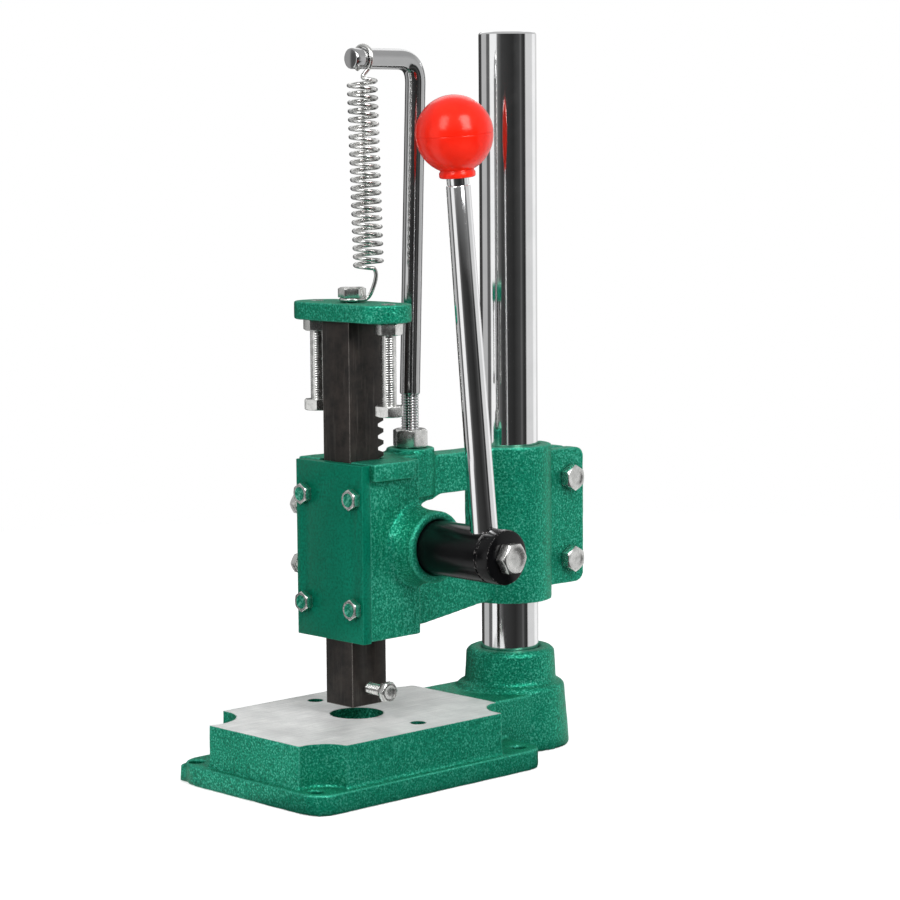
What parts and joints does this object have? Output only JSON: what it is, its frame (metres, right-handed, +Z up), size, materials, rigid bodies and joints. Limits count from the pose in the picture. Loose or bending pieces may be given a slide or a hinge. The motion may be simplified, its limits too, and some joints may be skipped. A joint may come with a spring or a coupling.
{
  "type": "snap setting press",
  "caption": "Bench press for setting snaps and eyelets: a rack ram driven by a side lever slides in a cast head that clamps on a round column above a drilled table.",
  "frame": {"origin": "on the column's axis, on the underside of the base", "axes": "+Z up along the column, -Y towards the operator, +X to the handle side"},
  "size_m": [0.1577, 0.2453, 0.398],
  "materials": {
    "green_casting": "green hammertone paint on cast iron",
    "green_plate": "smooth dark green paint",
    "table_steel": "ground flat, bare",
    "chrome": "polished",
    "zinc": "bright zinc plate",
    "spring_wire": "zinc plated spring wire",
    "black_steel": "black oxide, oiled",
    "black_gloss": "gloss black",
    "bronze": "dull",
    "red_plastic": "moulded, glossy"
  },
  "bodies": {
    "base": {"base_casting": "green_casting", "column": "chrome", "collar_set_screw": "black_steel"},
    "head": {"head_casting": "green_casting", "cover_plate": "green_plate", "cover_bolt_1": "green_plate", "cover_bolt_2": "green_plate", "cover_bolt_3": "green_plate", "cover_bolt_4": "green_plate", "gib_strip": "bronze", "gib_screw_lower": "zinc", "gib_screw_upper": "zinc", "gib_lock_nut_lower": "zinc", "gib_lock_nut_upper": "zinc", "clamp_nut_lower": "zinc", "clamp_nut_upper": "zinc", "spring_hanger": "chrome", "hanger_nut": "zinc"},
    "upper_clamp": {"clamp_bolt_upper": "zinc"},
    "lower_clamp": {"clamp_bolt_lower": "zinc"},
    "handle": {"pinion_shaft": "black_gloss", "hub_bolt": "zinc", "shaft_retainer": "zinc", "retainer_bolt": "zinc", "handle_rod": "chrome", "ball_knob": "red_plastic"},
    "ram": {"ram": "black_steel", "cap_plate": "green_casting", "cap_bolt": "zinc", "stop_lock_nut_left": "zinc", "stop_lock_nut_right": "zinc", "return_spring": "spring_wire"},
    "left_stop": {"stop_screw_left": "zinc"},
    "right_stop": {"stop_screw_right": "zinc"},
    "die_lock": {"die_screw": "zinc"}
  },
  "joints": [
    {"name": "head_height", "type": "slide", "parent": "base", "child": "head", "axis": [0, 0, 1], "range_m": [-0.006, 0.22]},
    {"name": "handle_turn", "type": "hinge", "parent": "head", "child": "handle", "pos_m": [0, -0.0938, 0.1253], "axis": [1, 0, 0], "range_deg": [-85.9, 28.6]},
    {"name": "ram_slide", "type": "slide", "parent": "head", "child": "ram", "axis": [0, 0, 1], "range_m": [-0.0061, 0.0181], "stiffness_N_per_m": 2500, "springref_m": 0.0045, "deforming": ["return_spring"]},
    {"name": "left_stop_adjust", "type": "slide", "parent": "ram", "child": "left_stop", "axis": [0, 0, 1], "range_m": [-0.008, 0.03]},
    {"name": "right_stop_adjust", "type": "slide", "parent": "ram", "child": "right_stop", "axis": [0, 0, 1], "range_m": [-0.008, 0.03]},
    {"name": "die_screw_adjust", "type": "slide", "parent": "ram", "child": "die_lock", "axis": [1, 0, 0], "range_m": [-0.004, 0.008]},
    {"name": "upper_clamp_turn", "type": "hinge", "parent": "head", "child": "upper_clamp", "pos_m": [0, 0.0375, 0.1483], "axis": [1, 0, 0], "range_deg": [0, 180]},
    {"name": "lower_clamp_turn", "type": "hinge", "parent": "head", "child": "lower_clamp", "pos_m": [0, 0.0375, 0.1018], "axis": [1, 0, 0], "range_deg": [0, 180]}
  ],
  "couplings": [
    {"joint": "ram_slide", "follows": "handle_turn", "m_per_rad": -0.012}
  ]
}
